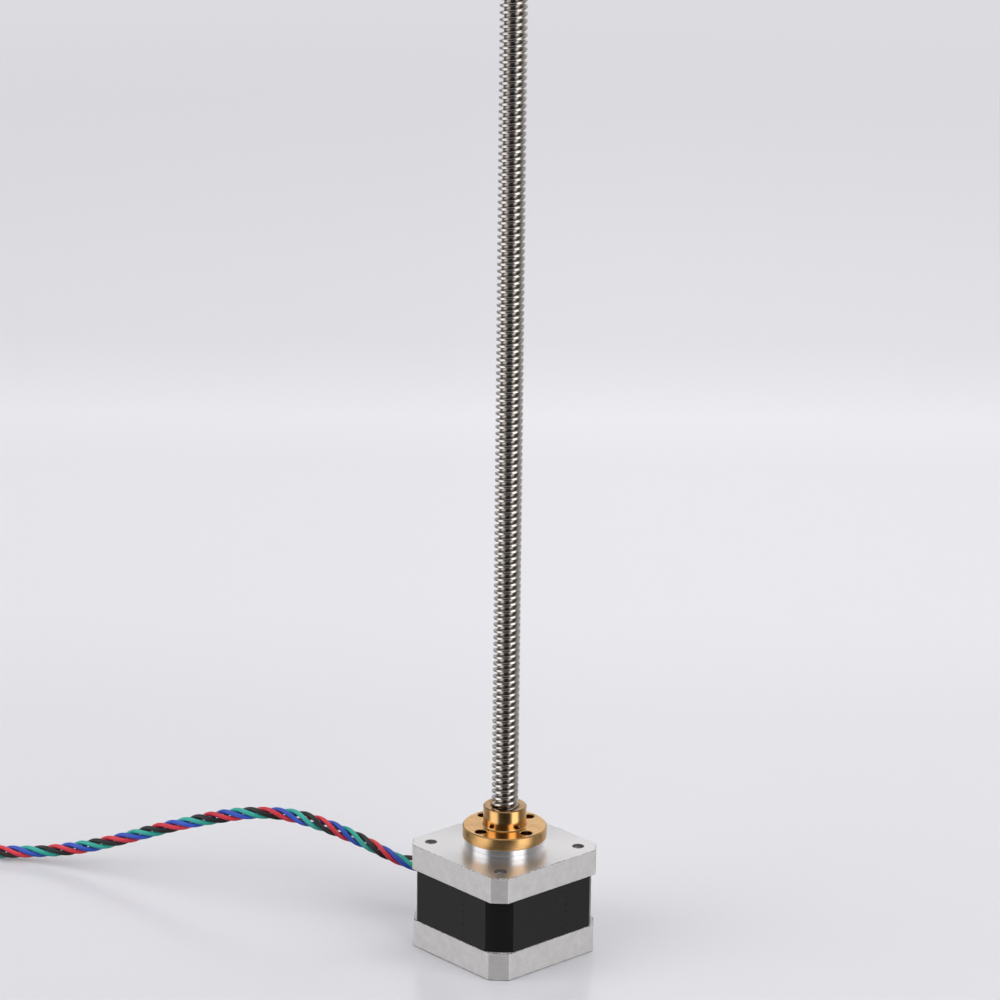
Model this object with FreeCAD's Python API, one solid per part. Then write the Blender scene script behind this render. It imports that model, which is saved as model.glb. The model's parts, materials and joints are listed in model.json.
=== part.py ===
"""Hybrid stepper motor whose shaft is a long trapezoidal lead screw with a flanged nut on it.

Millimetres, +Z up along the shaft. The origin is at the middle of the motor's rear face, and the
motor's flat sides face +X, -X, +Y and -Y. The cable leaves the -X side.
"""
import FreeCAD, Part
import math
import os

V = FreeCAD.Vector
UP = V(0, 0, 1)

# Motor frame
frame_width = 42.3
rear_cap_height = 8.7
stator_height = 15.8
front_cap_height = 7.9
stator_round_diameter = 52.0
front_chamfer = 3.7
rear_chamfer = 4.4
cavity_radius = 18.2
pilot_radius = 11.9
pilot_height = 2.5

# Levels that follow from the frame
stator_z = rear_cap_height
front_z = stator_z + stator_height
face_z = front_z + front_cap_height
pilot_z = face_z + pilot_height

# Screws on the corners
corner_hole_offset = 15.5
corner_places = [(sx * corner_hole_offset, sy * corner_hole_offset) for sx in (-1, 1) for sy in (-1, 1)]
tap_drill_radius = 1.25
screw_radius = 1.5
screw_clearance_radius = 1.7
screw_head_radius = 2.75
screw_head_height = 2.1
counterbore_radius = 2.9
counterbore_depth = 2.4
countersink_radius = 1.85
tapped_depth = 4.4

# Ball bearings, 5 x 16 x 5
bearing_bore_radius = 2.5
bearing_radius = 8.0
bearing_width = 5.0
ball_radius = 1.5
ball_circle_radius = 5.25
ball_count = 7
race_clearance = 0.02
inner_ring_radius = 4.35
outer_ring_inner_radius = 6.2
shield_recess_radius = 6.7
shield_recess = 0.3
shield_bore_radius = 4.55
shield_thickness = 0.25
front_bearing_z = 28.9
rear_bearing_z = 3.4

# Stator laminations and windings
pole_count = 8
teeth_per_pole = 6
rotor_teeth = 50
tooth_depth = 0.7
stator_bore_radius = 12.7
pole_tip_radius = 14.4
slot_outer_radius = 18.3
pole_neck_width = 4.6
slot_opening = 2.2
coil_inner_radius = 14.6
coil_outer_radius = 16.8
liner_gap = 0.3
winding_build = 1.5
insulator_plate = 0.8

# Rotor
rotor_radius = 12.6
rotor_core_height = 6.6
magnet_height = 2.2
magnet_radius = 11.0
rotor_z = 8.9
shim_radius = 3.8

# Lead screw, trapezoidal thread 8 x 4 with a pitch of 2, two starts, right-hand
thread_radius = 4.0
thread_root_radius = 2.75
thread_pitch = 2.0
thread_starts = 2
thread_lead = thread_starts * thread_pitch
thread_crest_width = 0.732
flank_slope = math.tan(math.radians(15))
thread_start_z = 34.75
screw_end_z = face_z + 300.0
journal_radius = 2.5
shoulder_radius = 3.4
rear_journal_z = 3.0
screw_end_chamfer = 1.0

# Flanged nut
nut_z = face_z + 2.6
nut_flange_radius = 12.5
nut_flange_height = 3.8
nut_barrel_radius = 6.45
nut_height = 10.0
nut_hole_circle_radius = 9.5
nut_hole_radius = 1.75
nut_thread_root_radius = 4.25
nut_thread_crest_radius = 3.05
thread_side_clearance = 0.15
nut_rim_chamfer = 0.3

# Cable outlet and lead ends inside the motor
grommet_width = 8.2
grommet_bottom_z = 3.5
grommet_stand_out = 1.2
cable_exit_z = 5.9
board_z = 3.9
board_thickness = 1.0
board_inner_radius = 11.2
board_outer_radius = 17.4
pin_radius = 0.35
pin_height = 1.2
pin_circle_radius = 12.6
pin_step = 20

# Cable: four twisted leads, lying free
cable_radius = 1.75
cable_exit = V(-frame_width / 2 - grommet_stand_out, 0, cable_exit_z)
coil_centre = V(-162.7, -108.6, 0)
coil_inner_turn_radius = 18.25
coil_outer_turn_radius = 21.75
coil_lift = 0.5
tie_width = 4.0
coil_entry_angle = 127.8
coil_turns_z = coil_lift + cable_radius
cable_route = [
    cable_exit,
    V(-32, 0.4, 6.6),
    V(-43.5, -2.6, 17.6),
    V(-60, -12.6, 20.2),
    V(-78, -25.5, 28.0),
    V(-104, -41.2, 18.2),
    V(-132, -58, 5.3),
    V(-155, -75.5, 1.8),
]

# Connector on the cable's end
connector_width = 12.4
connector_length = 12.0
connector_height = 5.8
contact_pitch = 2.5
contact_count = 4
contact_hole_width = 1.7


def cylinder(radius, z0, z1, x=0.0, y=0.0):
    return Part.makeCylinder(radius, z1 - z0, V(x, y, z0))


def ring(inner_radius, outer_radius, z0, z1):
    return cylinder(outer_radius, z0, z1).cut(cylinder(inner_radius, z0 - 1, z1 + 1))


def box(x0, x1, y0, y1, z0, z1):
    return Part.makeBox(x1 - x0, y1 - y0, z1 - z0, V(x0, y0, z0))


def polar(radius, degrees, z=0.0):
    angle = math.radians(degrees)
    return V(radius * math.cos(angle), radius * math.sin(angle), z)


def prism(points, height):
    outline = Part.makePolygon(points + [points[0]])
    return Part.Face(outline).extrude(V(0, 0, height))


def turned(shape, degrees):
    copy = shape.copy()
    copy.rotate(V(0, 0, 0), UP, degrees)
    return copy


def cut_all(shape, tools):
    return shape.cut(Part.makeCompound(tools))


def edges_along(shape, direction):
    straight = [e for e in shape.Edges if len(e.Vertexes) == 2]
    return [e for e in straight if abs(abs(e.tangentAt(e.FirstParameter) * direction) - 1) < 1e-6]


def square_block(z0, z1, chamfer):
    half = frame_width / 2
    block = box(-half, half, -half, half, z0, z1)
    return block.makeChamfer(chamfer, edges_along(block, UP))


def build_rear_cap():
    cap = square_block(0, rear_cap_height, rear_chamfer)
    cavity_floor = 2.6
    pocket_wall_radius = 10.0
    pocket_wall_z = 7.8
    rear_opening_radius = 4.2
    cavity = cylinder(cavity_radius, cavity_floor, rear_cap_height + 1)
    cavity = cavity.cut(cylinder(pocket_wall_radius, 0, pocket_wall_z))
    tools = [
        cavity,
        cylinder(bearing_radius, cavity_floor, rear_cap_height),
        cylinder(rear_opening_radius, -1, cavity_floor),
    ]
    above = rear_cap_height + 1
    for x, y in corner_places:
        tools.append(cylinder(screw_clearance_radius, -1, above, x, y))
        tools.append(cylinder(counterbore_radius, -1, counterbore_depth, x, y))
    half = grommet_width / 2
    notch = box(-frame_width / 2 - 1, -cavity_radius + 2, -half, half, grommet_bottom_z, above)
    return cut_all(cap, tools + [notch])


def build_front_cap():
    cap = square_block(front_z, face_z, front_chamfer)
    cap = cap.fuse(cylinder(pilot_radius, face_z - 1, pilot_z))
    cavity_roof = 29.4
    pocket_wall_radius = 10.5
    pocket_wall_z = 27.6
    cavity = cylinder(cavity_radius, front_z - 1, cavity_roof)
    cavity = cavity.cut(cylinder(pocket_wall_radius, pocket_wall_z, cavity_roof + 1))
    bearing_top = front_bearing_z + bearing_width
    front_opening_radius = 4.75
    tools = [
        cavity,
        cylinder(bearing_radius, front_z, bearing_top),
        cylinder(front_opening_radius, bearing_top - 1, pilot_z + 1),
    ]
    tapped_z = face_z - tapped_depth
    for x, y in corner_places:
        tools.append(cylinder(tap_drill_radius, tapped_z - 1, face_z + 1, x, y))
        tools.append(cylinder(screw_radius, front_z - 1, tapped_z, x, y))
        depth = countersink_radius - tap_drill_radius
        tools.append(Part.makeCone(tap_drill_radius, countersink_radius, depth, V(x, y, face_z - depth)))
    return cut_all(cap, tools).removeSplitter()


def pole_outline():
    """Inner outline of the laminations: slots between the poles and small teeth on the pole tips."""
    points = []
    pole_step = 360 / pole_count
    neck_half = pole_neck_width / 2
    tooth_step = 360 / rotor_teeth
    opening_half = math.degrees(slot_opening / 2 / stator_bore_radius)
    tip_half = pole_step / 2 - opening_half
    neck_at_tip = math.degrees(math.asin(neck_half / pole_tip_radius))
    neck_at_back = math.degrees(math.asin(neck_half / slot_outer_radius))
    for pole in range(pole_count):
        middle = pole * pole_step
        points.append(polar(pole_tip_radius, middle - neck_at_tip))
        points.append(polar(pole_tip_radius - 0.5, middle - tip_half))
        points.append(polar(stator_bore_radius, middle - tip_half))
        for tooth in range(teeth_per_pole - 1):
            gap = middle + (tooth - (teeth_per_pole - 2) / 2) * tooth_step
            for radius, offset in ((0, -0.25), (tooth_depth, -0.25), (tooth_depth, 0.25), (0, 0.25)):
                points.append(polar(stator_bore_radius + radius, gap + offset * tooth_step))
        points.append(polar(stator_bore_radius, middle + tip_half))
        points.append(polar(pole_tip_radius - 0.5, middle + tip_half))
        points.append(polar(pole_tip_radius, middle + neck_at_tip))
        back_start = middle + neck_at_back
        back_step = (pole_step - 2 * neck_at_back) / 6
        for k in range(7):
            points.append(polar(slot_outer_radius, back_start + k * back_step))
    return points


def build_stator_core():
    half = frame_width / 2
    blank = box(-half, half, -half, half, stator_z, front_z)
    blank = blank.common(cylinder(stator_round_diameter / 2, stator_z, front_z))
    hollow = prism(pole_outline(), stator_height + 2)
    hollow.translate(V(0, 0, stator_z - 1))
    tools = [hollow]
    for x, y in corner_places:
        tools.append(cylinder(screw_clearance_radius, stator_z - 1, front_z + 1, x, y))
    return cut_all(blank, tools)


def build_insulator(z, direction):
    """Moulded ring on one end of the laminations: plate over the yoke, arms on the poles, two walls."""
    wall_height = 2.2
    inner_wall = (13.3, 14.0)
    outer_wall = (17.5, 17.9)
    plate_inner_radius = 17.3
    tip_half = 3.9
    arm_half = pole_neck_width / 2 + liner_gap
    shape = ring(plate_inner_radius, outer_wall[1], 0, insulator_plate)
    shape = shape.fuse(ring(outer_wall[0], outer_wall[1], 0, wall_height))
    parts = []
    for pole in range(pole_count):
        degrees = pole * 360 / pole_count
        arm = box(inner_wall[0] + 0.1, plate_inner_radius + 0.1, -arm_half, arm_half, 0, insulator_plate)
        tip_wall = ring(inner_wall[0], inner_wall[1], 0, wall_height)
        tip_wall = tip_wall.common(box(12, 15, -tip_half, tip_half, 0, wall_height))
        parts.append(turned(arm.fuse(tip_wall), degrees))
    shape = shape.multiFuse(parts).removeSplitter()
    if direction < 0:
        shape.rotate(V(0, 0, 0), V(1, 0, 0), 180)
    shape.translate(V(0, 0, z))
    return shape


def build_winding(pole):
    neck_half = pole_neck_width / 2 + liner_gap
    side = neck_half + winding_build
    low = stator_z - insulator_plate
    high = front_z + insulator_plate
    bend_radius = 1.2
    bottom, top = low - winding_build, high + winding_build
    outer = box(coil_inner_radius, coil_outer_radius, -side, side, bottom, top)
    outer = outer.makeFillet(bend_radius, edges_along(outer, V(1, 0, 0)))
    inner = box(coil_inner_radius - 1, coil_outer_radius + 1, -neck_half, neck_half, low, high)
    return turned(outer.cut(inner), pole * 360 / pole_count)


def build_rotor_core(z0, first_angle):
    step = 360 / rotor_teeth
    points = []
    for tooth in range(rotor_teeth):
        middle = first_angle + tooth * step
        for radius, offset in ((0, -0.25), (0, 0.25), (-tooth_depth, 0.25), (-tooth_depth, 0.75)):
            points.append(polar(rotor_radius + radius, middle + offset * step))
    core = prism(points, rotor_core_height).cut(cylinder(journal_radius, -1, rotor_core_height + 1))
    core.translate(V(0, 0, z0))
    return core


def ball_groove(middle_z):
    return Part.makeTorus(ball_circle_radius, ball_radius + race_clearance, V(0, 0, middle_z), UP)


def build_outer_ring(z0):
    z1 = z0 + bearing_width
    body = ring(outer_ring_inner_radius, bearing_radius, z0, z1)
    tools = [
        ball_groove(z0 + bearing_width / 2),
        cylinder(shield_recess_radius, z0 - 1, z0 + shield_recess),
        cylinder(shield_recess_radius, z1 - shield_recess, z1 + 1),
    ]
    return cut_all(body, tools)


def build_inner_ring(z0):
    body = ring(bearing_bore_radius, inner_ring_radius, z0, z0 + bearing_width)
    return body.cut(ball_groove(z0 + bearing_width / 2))


def ball_places(z0):
    middle = z0 + bearing_width / 2
    return [polar(ball_circle_radius, k * 360 / ball_count, middle) for k in range(ball_count)]


def build_balls(z0):
    return Part.makeCompound([Part.makeSphere(ball_radius, place) for place in ball_places(z0)])


def build_cage(z0):
    half_wall = 0.45
    back, front = 1.95, 0.6
    play = 0.05
    middle = z0 + bearing_width / 2
    inner, outer = ball_circle_radius - half_wall, ball_circle_radius + half_wall
    crown = ring(inner, outer, middle - back, middle + front)
    return cut_all(crown, [Part.makeSphere(ball_radius + play, place) for place in ball_places(z0)])


def build_shields(z0):
    low_z = z0 + shield_recess - shield_thickness
    low = ring(shield_bore_radius, shield_recess_radius, low_z, low_z + shield_thickness)
    high_z = z0 + bearing_width - shield_recess
    high = ring(shield_bore_radius, shield_recess_radius, high_z, high_z + shield_thickness)
    return Part.makeCompound([low, high])


def build_wave_spring():
    """Thin washer with three waves, between the rear cap's floor and the rear bearing."""
    thickness = 0.25
    half_space = 0.4
    wave_count = 3
    inner_radius = 6.5
    outer_radius = 7.8
    middle_z = rear_bearing_z - half_space
    wave = half_space - thickness / 2

    def loop(radius, lift):
        count = 24
        places = []
        for k in range(count):
            degrees = k * 360 / count
            rise = wave * math.cos(math.radians(wave_count * degrees))
            places.append(polar(radius, degrees, middle_z + lift + rise))
        curve = Part.BSplineCurve()
        curve.interpolate(places, PeriodicFlag=True)
        return curve.toShape()

    half = thickness / 2
    corners = [(inner_radius, -half), (outer_radius, -half), (outer_radius, half), (inner_radius, half)]
    edges = [loop(radius, lift) for radius, lift in corners]
    faces = [Part.makeRuledSurface(edges[k], edges[(k + 1) % 4]) for k in range(4)]
    spring = Part.makeSolid(Part.makeShell(faces))
    if spring.Volume < 0:
        spring.reverse()
    return spring


def build_housing_screws():
    socket_radius = 1.15
    socket_depth = 1.2
    screw_top = face_z - tapped_depth - 0.4
    screws = []
    head_bottom = counterbore_depth - screw_head_height
    for x, y in corner_places:
        screw = cylinder(screw_head_radius, head_bottom, counterbore_depth, x, y)
        screw = screw.fuse(cylinder(screw_radius, counterbore_depth, screw_top, x, y))
        socket = prism([polar(socket_radius, 60 * k, head_bottom - 1) for k in range(6)], socket_depth + 1)
        socket.translate(V(x, y, 0))
        screws.append(screw.cut(socket).removeSplitter())
    return Part.makeCompound(screws)


def thread_body(crest_radius, root_radius, crest_width, first_z, turns):
    """Closed solid bounded by helical strips, one ridge centred on first_z at the angle zero."""
    flank = flank_slope * (crest_radius - root_radius)
    low = first_z - crest_width / 2
    profile = []
    for start in range(thread_starts):
        ridge = low + start * thread_pitch
        profile += [
            (crest_radius, ridge),
            (crest_radius, ridge + crest_width),
            (root_radius, ridge + crest_width + flank),
            (root_radius, ridge + thread_pitch - flank),
        ]
    profile.append((crest_radius, low + thread_lead))

    def helix(radius, z):
        line = Part.makeLongHelix(thread_lead, thread_lead * turns, radius, 0)
        line.translate(V(0, 0, z))
        return line

    def end_step(rise):
        points = [V(0, 0, low + rise)]
        points += [V(radius, 0, z + rise) for radius, z in profile]
        points.append(V(0, 0, low + rise + thread_lead))
        return Part.Face(Part.makePolygon(points + [points[0]]))

    def end_spiral(edge, rise):
        axis = Part.makeLine(V(0, 0, low + rise), V(0, 0, low + rise + thread_lead))
        return Part.makeRuledSurface(edge, axis).Faces

    lines = [helix(radius, z) for radius, z in profile]
    faces = []
    for one, other in zip(lines[:-1], lines[1:]):
        for edge, next_edge in zip(one.Edges, other.Edges):
            faces += Part.makeRuledSurface(edge, next_edge).Faces
    faces += end_spiral(lines[0].Edges[0], 0)
    faces += end_spiral(lines[-1].Edges[-1], thread_lead * turns)
    faces += [end_step(0), end_step(thread_lead * turns)]
    shell = Part.makeShell(faces)
    shell.sewShape()
    solid = Part.makeSolid(shell)
    if solid.Volume < 0:
        solid.reverse()
    return solid


def build_lead_screw():
    length = screw_end_z - thread_start_z
    turns = math.ceil(length / thread_lead) + 3
    first_z = thread_start_z - thread_lead
    rod = thread_body(thread_radius, thread_root_radius, thread_crest_width, first_z, turns)
    blank_radius = thread_radius + 1
    cone_height = screw_end_chamfer + 1
    cone_z = screw_end_z - cone_height
    blank = cylinder(blank_radius, thread_start_z, cone_z)
    cone = Part.makeCone(blank_radius, blank_radius - cone_height, cone_height, V(0, 0, cone_z))
    rod = rod.common(blank.fuse(cone).removeSplitter())
    bearing_top = front_bearing_z + bearing_width
    shaft = cylinder(journal_radius, rear_journal_z, bearing_top)
    shaft = shaft.fuse(cylinder(shoulder_radius, bearing_top, thread_start_z))
    return rod.fuse(shaft)


def build_lead_nut():
    flange_top = nut_z + nut_flange_height
    top = nut_z + nut_height
    nut = cylinder(nut_flange_radius, nut_z, flange_top).fuse(cylinder(nut_barrel_radius, nut_z, top))
    nut = nut.removeSplitter()
    rims = [e for e in nut.Edges if len(e.Vertexes) == 1 and e.BoundBox.ZLength < 0.01]
    flange_rims = [e for e in rims if e.BoundBox.XLength > 2 * nut_flange_radius - 0.1]
    top_rims = [e for e in rims if e.BoundBox.ZMin > top - 0.1]
    nut = nut.makeChamfer(nut_rim_chamfer, flange_rims + top_rims)
    widening = flank_slope * (nut_thread_root_radius - thread_radius)
    groove = thread_crest_width - 2 * widening + 2 * thread_side_clearance
    lead_in = 2
    first_z = thread_start_z - thread_lead
    turns = math.ceil((top - first_z) / thread_lead) + lead_in
    cutter = thread_body(nut_thread_root_radius, nut_thread_crest_radius, groove, first_z, turns)
    nut = nut.cut(cutter)
    mouth = nut_thread_root_radius + 0.15
    depth = mouth - nut_thread_crest_radius
    tools = [
        Part.makeCone(mouth, nut_thread_crest_radius, depth, V(0, 0, nut_z)),
        Part.makeCone(nut_thread_crest_radius, mouth, depth, V(0, 0, top - depth)),
    ]
    for k in range(4):
        place = polar(nut_hole_circle_radius, 90 * k)
        tools.append(cylinder(nut_hole_radius, nut_z - 1, flange_top + 1, place.x, place.y))
    for tool in tools:
        nut = nut.cut(tool)
    return nut


def build_grommet():
    half = grommet_width / 2 - 0.05
    top = rear_cap_height - 0.05
    outer_x = -frame_width / 2 - grommet_stand_out
    block = box(outer_x, -cavity_radius + 0.2, -half, half, grommet_bottom_z + 0.05, top)
    edges = [e for e in block.Edges if e.BoundBox.XLength < 0.01 and e.BoundBox.XMax < outer_x + 0.1]
    return block.makeFillet(0.6, edges)


def build_terminal_board():
    board = ring(board_inner_radius, board_outer_radius, board_z, board_z + board_thickness)
    return board.common(box(-18, -5.5, -12, 12, board_z - 1, board_z + 2))


def build_terminal_pins():
    pins = []
    for k in range(4):
        place = polar(pin_circle_radius, 180 + (k - 1.5) * pin_step)
        low = board_z + board_thickness
        pins.append(cylinder(pin_radius, low, low + pin_height, place.x, place.y))
    return Part.makeCompound(pins)


def build_lead_ends():
    lead_radius = 0.7
    lead_spacing = 1.9
    leads = []
    for k in range(4):
        start = V(-cavity_radius + 0.2, (k - 1.5) * lead_spacing, board_z + board_thickness + lead_radius)
        leads.append(Part.makeCylinder(lead_radius, 3.5, start, V(1, 0, 0)))
    return Part.makeCompound(leads)


def cord_tube(route, name):
    """Tube along straight runs that are joined by arcs as large as the runs allow."""
    corners = []
    for k in range(1, len(route) - 1):
        before = route[k] - route[k - 1]
        after = route[k + 1] - route[k]
        turn = before.getAngle(after)
        shorter = min(before.Length, after.Length)
        radius = 0.45 * shorter / math.tan(turn / 2)
        reach = 0.45 * shorter
        incoming = V(before).normalize()
        outgoing = V(after).normalize()
        start = route[k] - incoming * reach
        end = route[k] + outgoing * reach
        middle_direction = (outgoing - incoming).normalize()
        inset = radius * (1 / math.cos(turn / 2) - 1)
        corners.append((start, route[k] + middle_direction * inset, end))
        print(name, "turn", round(math.degrees(turn), 1), "radius", round(radius, 1))
    edges = []
    last = route[0]
    for start, middle, end in corners:
        edges.append(Part.LineSegment(last, start).toShape())
        edges.append(Part.Arc(start, middle, end).toShape())
        last = end
    edges.append(Part.LineSegment(last, route[-1]).toShape())
    path = Part.Wire(edges)
    section = Part.Wire(Part.Circle(route[0], route[1] - route[0], cable_radius).toShape())
    tube = path.makePipeShell([section], True, True)
    expected = math.pi * cable_radius ** 2 * path.Length
    print(name, "length", round(path.Length, 1), "volume ratio", round(tube.Volume / expected, 4))
    return tube


def coil_frame():
    """Directions at the cable's entry to the coil: outwards from the coil's middle, and onwards."""
    outwards = polar(1, coil_entry_angle)
    onwards = polar(1, coil_entry_angle + 90)
    return outwards, onwards


def coil_place(onward, outward, z):
    outwards, onwards = coil_frame()
    place = coil_centre + onwards * onward + outwards * outward
    return V(place.x, place.y, z)


def build_cable_run():
    entry = coil_place(0, coil_outer_turn_radius, coil_turns_z)
    return cord_tube(cable_route + [entry], "cable_run")


def build_cable_coil():
    low = coil_inner_turn_radius - cable_radius
    high = coil_outer_turn_radius + cable_radius
    coil = ring(low, high, coil_lift, coil_lift + 2 * cable_radius)
    coil = coil.makeFillet(cable_radius * 0.9, [e for e in coil.Edges if e.BoundBox.ZLength < 0.01])
    coil.translate(coil_centre)
    return coil


def tail_route():
    return [
        coil_place(-4, coil_inner_turn_radius, 3.2),
        coil_place(5, coil_inner_turn_radius + 0.1, 6.2),
        coil_place(16.5, coil_inner_turn_radius + 0.6, 6.4),
        coil_place(26, coil_inner_turn_radius - 0.2, connector_height / 2),
        coil_place(35, coil_inner_turn_radius - 2.2, connector_height / 2),
    ]


def build_cable_tail():
    return cord_tube(tail_route(), "cable_tail")


def build_cable_tie():
    wall = coil_lift
    half = tie_width / 2
    low = coil_inner_turn_radius - cable_radius - 0.3
    high = coil_outer_turn_radius + cable_radius + 0.1
    top = coil_lift + 2 * cable_radius + 0.05
    band = box(low - wall, high + wall, -half, half, 0, top + wall)
    band = band.cut(box(low, high, -half - 1, half + 1, wall - 0.001, top))
    band = turned(band, coil_entry_angle + 180)
    band.translate(coil_centre)
    return band


def connector_base():
    """Place of the connector's back face and the angle that it points along."""
    route = tail_route()
    heading = route[-1] - route[-2]
    return V(route[-1].x, route[-1].y, 0), math.degrees(math.atan2(heading.y, heading.x))


def placed_on_connector(shape):
    place, degrees = connector_base()
    moved = turned(shape, degrees)
    moved.translate(place)
    return moved


def contact_rows():
    return [(k - (contact_count - 1) / 2) * contact_pitch for k in range(contact_count)]


def build_connector():
    half = connector_width / 2
    shell = box(0, connector_length, -half, half, 0, connector_height)
    shell = shell.makeFillet(0.5, [e for e in shell.Edges if abs(e.tangentAt(e.FirstParameter).x) > 0.99])
    middle = connector_height / 2
    hole_half = contact_hole_width / 2
    tools = []
    for y in contact_rows():
        low, high = middle - hole_half, middle + hole_half
        tools.append(box(2, connector_length + 1, y - hole_half, y + hole_half, low, high))
    return placed_on_connector(cut_all(shell, tools))


def build_connector_contacts():
    middle = connector_height / 2
    outer = contact_hole_width / 2 - 0.1
    inner = 0.4
    contacts = []
    for y in contact_rows():
        body = box(2, connector_length - 1, y - outer, y + outer, middle - outer, middle + outer)
        slot = box(4, connector_length, y - inner, y + inner, middle - inner, middle + inner)
        contacts.append(body.cut(slot))
    return placed_on_connector(Part.makeCompound(contacts))


def build_bearing(nodes, name, z0):
    nodes[name + "_outer_ring"] = build_outer_ring(z0)
    nodes[name + "_inner_ring"] = build_inner_ring(z0)
    nodes[name + "_balls"] = build_balls(z0)
    nodes[name + "_cage"] = build_cage(z0)
    nodes[name + "_shields"] = build_shields(z0)


def build_all():
    nodes = {
        "rear_cap": build_rear_cap(),
        "front_cap": build_front_cap(),
        "stator_core": build_stator_core(),
        "insulator_front": build_insulator(front_z, 1),
        "insulator_rear": build_insulator(stator_z, -1),
        "housing_screws": build_housing_screws(),
        "wave_spring": build_wave_spring(),
        "lead_screw": build_lead_screw(),
        "lead_nut": build_lead_nut(),
        "cable_grommet": build_grommet(),
        "terminal_board": build_terminal_board(),
        "terminal_pins": build_terminal_pins(),
        "lead_ends": build_lead_ends(),
        "cable_run": build_cable_run(),
        "cable_coil": build_cable_coil(),
        "cable_tail": build_cable_tail(),
        "cable_tie": build_cable_tie(),
        "cable_connector": build_connector(),
        "connector_contacts": build_connector_contacts(),
    }
    for pole in range(pole_count):
        nodes["winding_%d" % (pole + 1)] = build_winding(pole)
    build_bearing(nodes, "front_bearing", front_bearing_z)
    build_bearing(nodes, "rear_bearing", rear_bearing_z)
    magnet_z = rotor_z + rotor_core_height
    front_core_z = magnet_z + magnet_height
    rotor_top_z = front_core_z + rotor_core_height
    half_tooth = 360 / rotor_teeth / 2
    nodes["rotor_core_rear"] = build_rotor_core(rotor_z, 0)
    nodes["rotor_magnet"] = ring(journal_radius, magnet_radius, magnet_z, front_core_z)
    nodes["rotor_core_front"] = build_rotor_core(front_core_z, half_tooth)
    nodes["rotor_spacer_front"] = ring(journal_radius, shim_radius, rotor_top_z, front_bearing_z)
    nodes["rotor_shim_rear"] = ring(journal_radius, shim_radius, rear_bearing_z + bearing_width, rotor_z)
    return nodes


def export_all(nodes):
    os.makedirs("parts", exist_ok=True)
    for name, shape in nodes.items():
        print(name, "valid", shape.isValid(), "solids", len(shape.Solids), "volume", round(shape.Volume, 1))
        shape.exportStep("parts/%s.step" % name)


export_all(build_all())
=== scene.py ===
import json
import math

import bmesh
import bpy
import numpy as np
from mathutils import Matrix, Vector


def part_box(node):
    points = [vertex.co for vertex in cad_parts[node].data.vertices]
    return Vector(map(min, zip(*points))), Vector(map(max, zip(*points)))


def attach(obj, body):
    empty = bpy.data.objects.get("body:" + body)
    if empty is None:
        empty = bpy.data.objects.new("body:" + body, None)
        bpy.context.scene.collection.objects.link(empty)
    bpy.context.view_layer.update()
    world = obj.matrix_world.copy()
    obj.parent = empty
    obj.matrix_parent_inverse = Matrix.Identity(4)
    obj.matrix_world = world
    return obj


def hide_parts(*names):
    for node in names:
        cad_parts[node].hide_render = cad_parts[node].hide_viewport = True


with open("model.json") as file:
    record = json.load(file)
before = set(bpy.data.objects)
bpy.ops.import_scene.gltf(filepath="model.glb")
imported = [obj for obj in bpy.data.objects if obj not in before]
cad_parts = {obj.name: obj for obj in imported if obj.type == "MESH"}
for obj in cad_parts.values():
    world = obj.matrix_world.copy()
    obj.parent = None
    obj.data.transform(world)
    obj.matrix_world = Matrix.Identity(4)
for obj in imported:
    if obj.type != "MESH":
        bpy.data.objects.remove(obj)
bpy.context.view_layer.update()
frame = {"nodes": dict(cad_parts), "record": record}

MM = 0.001


# ------------------------------ sizes, in millimetres

def box_mm(node):
    """Lowest and highest corner of a CAD node, in millimetres."""
    low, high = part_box(node)
    return low / MM, high / MM


front_low, front_high = box_mm("front_cap")
rear_low, rear_high = box_mm("rear_cap")
screw_low, screw_high = box_mm("lead_screw")
nut_low, nut_high = box_mm("lead_nut")
stator_low, stator_high = box_mm("stator_core")
coil_low, coil_high = box_mm("cable_coil")

FRAME_HALF = front_high.x
REAR_TOP = rear_high.z
PILOT_TOP = front_high.z
PILOT_HEIGHT = 2.5
FACE = PILOT_TOP - PILOT_HEIGHT
PILOT_RADIUS = 11.9
FRONT_CHAMFER = 3.7
REAR_CHAMFER = 4.4
CAVITY_RADIUS = 18.2
BEARING_RADIUS = 8.0
HOLE_OFFSET = 15.5
HOLE_PLACES = [(sx * HOLE_OFFSET, sy * HOLE_OFFSET) for sx in (-1, 1) for sy in (-1, 1)]
BEARING_TOP = 33.9
TAP_RADIUS = 1.25
SCREW_RADIUS = 1.5
SCREW_CLEARANCE_RADIUS = 1.7
COUNTERSINK_RADIUS = 1.85
COUNTERSINK_DEPTH = 0.6
SCREW_HEAD_RADIUS = 2.75
COUNTERBORE_RADIUS = 2.9
COUNTERBORE_DEPTH = 2.4

THREAD_RADIUS = 4.0
THREAD_ROOT = 2.75
PITCH = 2.0
STARTS = 2
LEAD = STARTS * PITCH
CREST = 0.732
FLANK = math.tan(math.radians(15))
THREAD_START = 34.75

NUT_FLANGE_RADIUS = nut_high.x
NUT_FLANGE_HEIGHT = 3.8
NUT_BARREL_RADIUS = 6.45
NUT_HOLE_CIRCLE = 9.5
NUT_HOLE_RADIUS = 1.75
NUT_GROOVE_RADIUS = 4.25
NUT_RIDGE_RADIUS = 3.05
NUT_SIDE_CLEARANCE = 0.15

STATOR_ROUND_RADIUS = 26.0
STATOR_BORE = 12.7
POLE_COUNT = 8
TEETH_PER_POLE = 6
ROTOR_TEETH = 50
TOOTH_DEPTH = 0.7
POLE_TIP_RADIUS = 14.4
POLE_NECK = 4.6
SLOT_RADIUS = 18.3
SLOT_OPENING = 2.2
MARK_ROWS = 7
MARK_OFFSET = 5.5
MARK_FIRST_Z = 9.9
MARK_STEP = 2.08

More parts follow.
